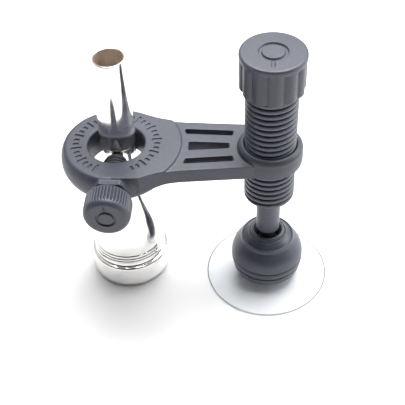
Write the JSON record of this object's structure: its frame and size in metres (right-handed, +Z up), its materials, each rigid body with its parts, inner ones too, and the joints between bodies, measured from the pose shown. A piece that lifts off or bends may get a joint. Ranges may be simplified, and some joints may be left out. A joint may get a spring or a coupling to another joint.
{
  "type": "embouchure training clamp with mouthpiece",
  "caption": "Brass player's embouchure trainer: an arm clamped to a trumpet mouthpiece shank carries a threaded barrel with a sprung plunger and a swivelling clear chin disc.",
  "frame": {"origin": "centre of the object's footprint box on the surface that it stands on", "axes": "+X from the mouthpiece towards the barrel, +Y away from the thumb screw, +Z up along the barrel and the mouthpiece"},
  "size_m": [0.0852, 0.0484, 0.0924],
  "materials": {
    "body_plastic": "fine grained moulded, matt",
    "barrel_plastic": "machined thread, matt to satin",
    "knob_plastic": "fine grained moulded, matt",
    "dome_plastic": "turned, matt to satin",
    "rod_plastic": "smooth, satin",
    "screw_black": "black oxide, satin",
    "liner": "matt",
    "nylon": "natural nylon",
    "silver": "polished silver plate, slight tarnish in the corners",
    "steel": "plain",
    "spring_steel": "drawn wire",
    "rubber": "matt",
    "clear_vinyl": "clear flexible vinyl, glossy"
  },
  "bodies": {
    "arm": {"arm_body": "body_plastic", "seat_pad": "liner"},
    "mouthpiece": {"mouthpiece": "silver"},
    "clamp_tip": {"clamp_tip": "liner"},
    "clamp_screw": {"clamp_screw": "screw_black", "clamp_knob": "knob_plastic"},
    "spring_pack": {"spring_seat": "steel", "plunger_spring": "spring_steel"},
    "barrel": {"barrel": "barrel_plastic", "barrel_knob": "knob_plastic", "knob_screw": "steel", "barrel_bush": "nylon", "bush_ring": "steel"},
    "plunger": {"plunger_rod": "rod_plastic", "plunger_head": "nylon", "head_screw": "steel", "ball_stud": "screw_black"},
    "ball_seat": {"ball_seat": "nylon"},
    "friction_ring": {"friction_ring": "rubber"},
    "chin_pad": {"socket_cap": "dome_plastic", "socket_base": "dome_plastic", "chin_disc": "clear_vinyl", "disc_washer": "steel", "disc_screw": "steel"}
  },
  "joints": [
    {"name": "mouthpiece_slide", "type": "slide", "parent": "arm", "child": "mouthpiece", "axis": [0, 0, 1], "range_m": [-0.0002, 0.005]},
    {"name": "clamp_feed", "type": "slide", "parent": "arm", "child": "clamp_tip", "axis": [0, -1, 0], "range_m": [0, 0.003]},
    {"name": "clamp_turn", "type": "hinge", "parent": "clamp_tip", "child": "clamp_screw", "pos_m": [-0.02517, -0.01628, 0.05225], "axis": [0, -1, 0], "range_deg": [-1, 865]},
    {"name": "barrel_feed", "type": "slide", "parent": "arm", "child": "spring_pack", "axis": [0, 0, 1], "range_m": [-0.02, 0.012]},
    {"name": "barrel_turn", "type": "hinge", "parent": "spring_pack", "child": "barrel", "pos_m": [0.02212, 0.00373, 0.06], "axis": [0, 0, 1], "range_deg": [-3601, 2161]},
    {"name": "plunger_slide", "type": "slide", "parent": "spring_pack", "child": "plunger", "axis": [0, 0, 1], "range_m": [0, 0.012], "stiffness_N_per_m": 667, "springref_m": -0.003, "deforming": ["plunger_spring"]},
    {"name": "pad_tilt_x", "type": "hinge", "parent": "plunger", "child": "ball_seat", "pos_m": [0.02212, 0.00373, 0.0125], "axis": [1, 0, 0], "range_deg": [-8, 8]},
    {"name": "pad_tilt_y", "type": "hinge", "parent": "ball_seat", "child": "friction_ring", "pos_m": [0.02212, 0.00373, 0.0125], "axis": [0, 1, 0], "range_deg": [-8, 8]},
    {"name": "pad_spin", "type": "hinge", "parent": "friction_ring", "child": "chin_pad", "pos_m": [0.02212, 0.00373, 0.0125], "axis": [0, 0, 1], "continuous": true}
  ],
  "couplings": [
    {"joint": "clamp_turn", "follows": "clamp_feed", "rad_per_m": 5026.5},
    {"joint": "barrel_turn", "follows": "barrel_feed", "rad_per_m": 3141.6}
  ]
}
